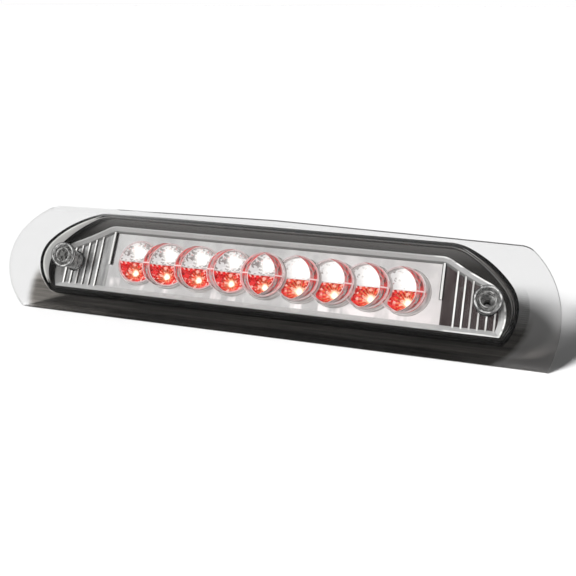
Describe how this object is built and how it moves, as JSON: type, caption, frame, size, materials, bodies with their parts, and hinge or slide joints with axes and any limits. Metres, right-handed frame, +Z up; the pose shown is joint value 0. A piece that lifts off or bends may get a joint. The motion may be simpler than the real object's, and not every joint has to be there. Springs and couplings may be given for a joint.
{
  "type": "third brake light",
  "caption": "Clear-lens high-mount third brake light with cargo lamps: chrome reflector, twin-LED cups, ribbed ends and screw bosses at both ends.",
  "frame": {"origin": "on the rear mounting face, midway between the two mounting screws", "axes": "+X along the lamp, +Z up, the lamp shines towards -Y"},
  "size_m": [0.4568, 0.066, 0.096],
  "materials": {
    "clear_lens": "gloss",
    "clear_barrel": "gloss",
    "black_seal": "satin",
    "black_housing": "matte",
    "foam": "matte",
    "smoked_trim": "gloss",
    "chrome": "mirror",
    "board_green": "satin",
    "component_black": "matte",
    "screw_steel": "satin",
    "terminal_metal": "satin",
    "red_emitter": "gloss",
    "white_emitter": "gloss"
  },
  "bodies": {
    "root": {"board_screws": "screw_steel", "body_gasket": "foam", "circuit_board": "board_green", "connector_inlet": "black_housing", "connector_pins": "terminal_metal", "cup_barrel_1": "clear_barrel", "cup_barrel_2": "clear_barrel", "cup_barrel_3": "clear_barrel", "cup_barrel_4": "clear_barrel", "cup_barrel_5": "clear_barrel", "cup_barrel_6": "clear_barrel", "cup_barrel_7": "clear_barrel", "cup_barrel_8": "clear_barrel", "cup_barrel_9": "clear_barrel", "driver_chip": "component_black", "lens_seal": "black_seal", "outer_lens": "clear_lens", "rear_housing": "black_housing", "red_led_1": "red_emitter", "red_led_2": "red_emitter", "red_led_3": "red_emitter", "red_led_4": "red_emitter", "red_led_5": "red_emitter", "red_led_6": "red_emitter", "red_led_7": "red_emitter", "red_led_8": "red_emitter", "red_led_9": "red_emitter", "reflector_bowl_1": "chrome", "reflector_bowl_2": "chrome", "reflector_bowl_3": "chrome", "reflector_bowl_4": "chrome", "reflector_bowl_5": "chrome", "reflector_bowl_6": "chrome", "reflector_bowl_7": "chrome", "reflector_bowl_8": "chrome", "reflector_bowl_9": "chrome", "reflector_panel": "chrome", "resistors": "component_black", "surge_diode": "component_black", "trim_ring": "smoked_trim", "white_led_1": "white_emitter", "white_led_2": "white_emitter", "white_led_3": "white_emitter", "white_led_4": "white_emitter", "white_led_5": "white_emitter", "white_led_6": "white_emitter", "white_led_7": "white_emitter", "white_led_8": "white_emitter", "white_led_9": "white_emitter"}
  },
  "joints": []
}
